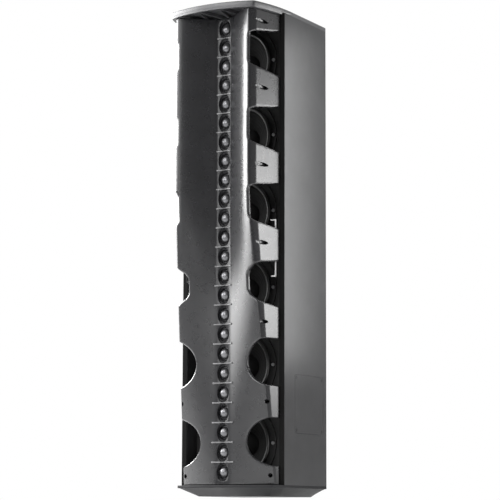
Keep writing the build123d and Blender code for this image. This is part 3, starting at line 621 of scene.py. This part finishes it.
def build_horn_screws():
    """The horn's socket screws, each in its well."""
    well_points, well_faces = [], []
    screw_points, screw_faces = [], []
    for z in tab_z:
        for side in (1, -1):
            x = side * POST_X
            seat = EDGE_Y - surface_depth(POST_X, z) + SEAT_DEEP
            add_well(x, z, seat, well_points, well_faces)
            screw = [(0, seat - 1.4), (1.6, seat - 1.4), (1.6, seat - 2.9), (3.2, seat - 3.1),
                     (3.7, seat - 2.7), (3.8, seat - 2.0), (3.8, seat), (2.0, seat), (2.0, 8.0), (0, 8.0)]
            turned(screw, x, z, screw_points, screw_faces, 36, socket({1, 2}))
    mesh_object("horn_screw_wells", well_points, well_faces, "horn_plastic", sharp=40.0)
    mesh_object("horn_fixing_screws", screw_points, screw_faces, "black_steel", replaces=["horn_screws"])


# ---------------------------------------------------------------- tweeters and woofers
def build_domes():
    """The three banks of eight domes, each dome with its roll, its coil former and its underside."""
    dome = ball_cap(DOME_R, DOME_RISE, DOME_APEX, 10)
    rim = dome[-1][1]
    dome += [(11.5, rim + 0.45), (11.7, rim + 0.15), (12.0, rim - 0.35), (12.3, rim - 0.3), (12.5, rim + 0.3),
             (12.6, rim + 0.9), (12.6, rim + 16), (12.1, rim + 16), (12.1, rim + 1.4), (11.0, rim + 1.0),
             (6.0, DOME_APEX + 3.4), (0, DOME_APEX + 0.6)]
    for bank, bank_name in enumerate(("lower", "middle", "upper")):
        points, faces = [], []
        for z in tweeter_z[8 * bank:8 * bank + 8]:
            turned(dome, 0, z, points, faces, 48)
        mesh_object(f"dome_bank_{bank_name}", points, faces, "dome_metal", f"tweeters_{bank_name}", 50.0,
                    [f"tweeter_domes_{bank_name}"])


def build_cones():
    """The woofers' ribbed cones with their dust caps."""
    front, back = [], []
    for k in range(25):
        r, y = between(CONE_OUTER, CONE_INNER, k / 24)
        ripple = 0.45 * math.sin(k * math.pi / 2) if 2 < k < 16 else 0.0
        front.append((r, y - ripple))
        back.append((r, y + CONE_T - ripple))
    cone = front + back[::-1] + [front[0]]
    cap = ball_cap(DUST_CAP_R, DUST_CAP_RISE, DUST_CAP_APEX, 12)
    cap += [(r * 0.97, y + DUST_CAP_T) for r, y in reversed(cap[1:])] + [(0, DUST_CAP_APEX + DUST_CAP_T)]
    for i, z in enumerate(woofer_z, start=1):
        points, faces = [], []
        turned(cone, 0, z, points, faces, 96)
        turned(cap, 0, z, points, faces, 64)
        mesh_object(f"cone_{i}", points, faces, "cone_paper", f"woofer_{i}", 50.0, [f"woofer_cone_{i}"])


def build_surrounds():
    """The woofers' half-roll surrounds."""
    def half_roll(radius):
        turn = [math.pi * n / 12 for n in range(13)]
        return [(ROLL_CENTRE[0] - radius * math.cos(a), ROLL_CENTRE[1] - radius * math.sin(a)) for a in turn]

    outer = half_roll(ROLL_R)
    roll = outer + half_roll(ROLL_R - ROLL_T)[::-1] + [outer[0]]
    points, faces = [], []
    for z in woofer_z:
        turned(roll, 0, z, points, faces, 96)
    mesh_object("surround_rolls", points, faces, "surround_rubber", replaces=["woofer_surrounds"])


build_horn()
build_ribs()
build_horn_screws()
build_domes()
build_cones()
build_surrounds()

# ---------------------------------------------------------------- softened edges on CAD pieces that stay
softened = {"cabinet_shell": 1.2, "side_access_cover": 0.5, "bottom_cap": 0.8, "top_cap": 1.6,
            "terminal_lid": 0.5, "input_dish": 0.5, "barrier_strip": 0.4, "horn_clips": 0.3}
for node_name, width in softened.items():
    node = frame["nodes"][node_name]
    weld = node.modifiers.new("weld", "WELD")
    weld.merge_threshold = 1e-5
    soft = node.modifiers.new("soft", "BEVEL")
    soft.width = width * MM
    soft.segments = 2
    soft.limit_method = "ANGLE"
    soft.angle_limit = math.radians(40)
    soft.harden_normals = False

# ---------------------------------------------------------------- floor; lengths in metres from here on
FLOOR_Z = -0.056          # below the camera's height, as the photograph sees the foot from beneath
bpy.ops.mesh.primitive_plane_add(size=14, location=(0, 0, FLOOR_Z))
floor = bpy.context.object
floor.name = "studio_floor"
floor.data.materials.append(finish("studio_floor", (0.82, 0.82, 0.82), 0.7, grain=60, bump=0.02, mottle=0.01))


# ---------------------------------------------------------------- lights
def panel_light(name, width, height, power, location):
    """A rectangular light that the camera doesn't see. It faces down until it is turned."""
    lamp = bpy.data.lights.new(name, "AREA")
    lamp.shape = "RECTANGLE"
    lamp.size, lamp.size_y = width, height
    lamp.energy = power
    panel = bpy.data.objects.new(name, lamp)
    panel.location = location
    panel.visible_camera = False
    bpy.context.scene.collection.objects.link(panel)
    return panel


def softbox(name, azimuth, distance, low, high, width, power, centre=(0.0, 0.0)):
    """An upright light from low to high, facing a centre. Azimuth 0 is in front, 90 is on the right."""
    a = math.radians(azimuth)
    place = (centre[0] + distance * math.sin(a), centre[1] - distance * math.cos(a), (low + high) / 2)
    panel_light(name, width, high - low, power, place).rotation_euler = (math.radians(90), 0, a)


softbox("left_key", -61, 2.6, 0.44, 2.30, 1.50, 125)
softbox("front_left", -8, 2.6, 0.78, 2.30, 1.60, 78)
softbox("left_rear", -96, 2.6, 0.84, 2.30, 1.65, 265)
softbox("right_rear", 115, 2.6, 0.36, 1.30, 1.10, 48)
softbox("low_front_right", 27, 2.6, -0.04, 0.26, 0.50, 4)
softbox("wall_strip", 150.5, 0.50, 0.30, 1.05, 0.08, 2.5, (0.122, -0.125))
high_left = panel_light("high_left", 1.1, 0.7, 20, (-0.95, -1.45, 2.45))
high_left.rotation_mode = "QUATERNION"
high_left.rotation_quaternion = (Vector((0, 0, 0.5)) - high_left.location).to_track_quat("-Z", "Y")
panel_light("overhead", 7.0, 7.0, 130, (-0.8, 1.5, 3.6))

# ---------------------------------------------------------------- a dim world behind a white backdrop
world = bpy.data.worlds.new("studio")
bpy.context.scene.world = world
world.use_nodes = True
tree = world.node_tree
air = tree.nodes["Background"]
air.inputs["Color"].default_value = (1, 1, 1, 1)
air.inputs["Strength"].default_value = 0.24
backdrop = tree.nodes.new("ShaderNodeBackground")
backdrop.inputs["Color"].default_value = (1, 1, 1, 1)
backdrop.inputs["Strength"].default_value = 1.0
seen = tree.nodes.new("ShaderNodeLightPath")
choose = tree.nodes.new("ShaderNodeMixShader")
tree.links.new(seen.outputs["Is Camera Ray"], choose.inputs[0])
tree.links.new(air.outputs[0], choose.inputs[1])
tree.links.new(backdrop.outputs[0], choose.inputs[2])
tree.links.new(choose.outputs[0], tree.nodes["World Output"].inputs["Surface"])
bpy.context.scene.view_settings.view_transform = "Standard"

# ---------------------------------------------------------------- camera
YAW, PITCH_UP, ROLL = (math.radians(d) for d in (30.64, 8.157, 0.20))
CAMERA_PLACE = (1.998, -3.3461, -0.0474)
level = math.cos(PITCH_UP)
forward = Vector((-math.sin(YAW) * level, math.cos(YAW) * level, math.sin(PITCH_UP)))
across = Vector((math.cos(YAW), math.sin(YAW), 0))
upward = across.cross(forward)
right = across * math.cos(ROLL) + upward * math.sin(ROLL)
top = upward * math.cos(ROLL) - across * math.sin(ROLL)
camera = bpy.data.objects.new("camera", bpy.data.cameras.new("camera"))
camera.data.lens = 135.6
camera.data.sensor_width = 36.0
camera.data.clip_end = 60
camera.matrix_world = (Matrix.Translation(CAMERA_PLACE)
                       @ Matrix((right, top, -forward)).transposed().to_4x4())
bpy.context.scene.collection.objects.link(camera)
bpy.context.scene.camera = camera
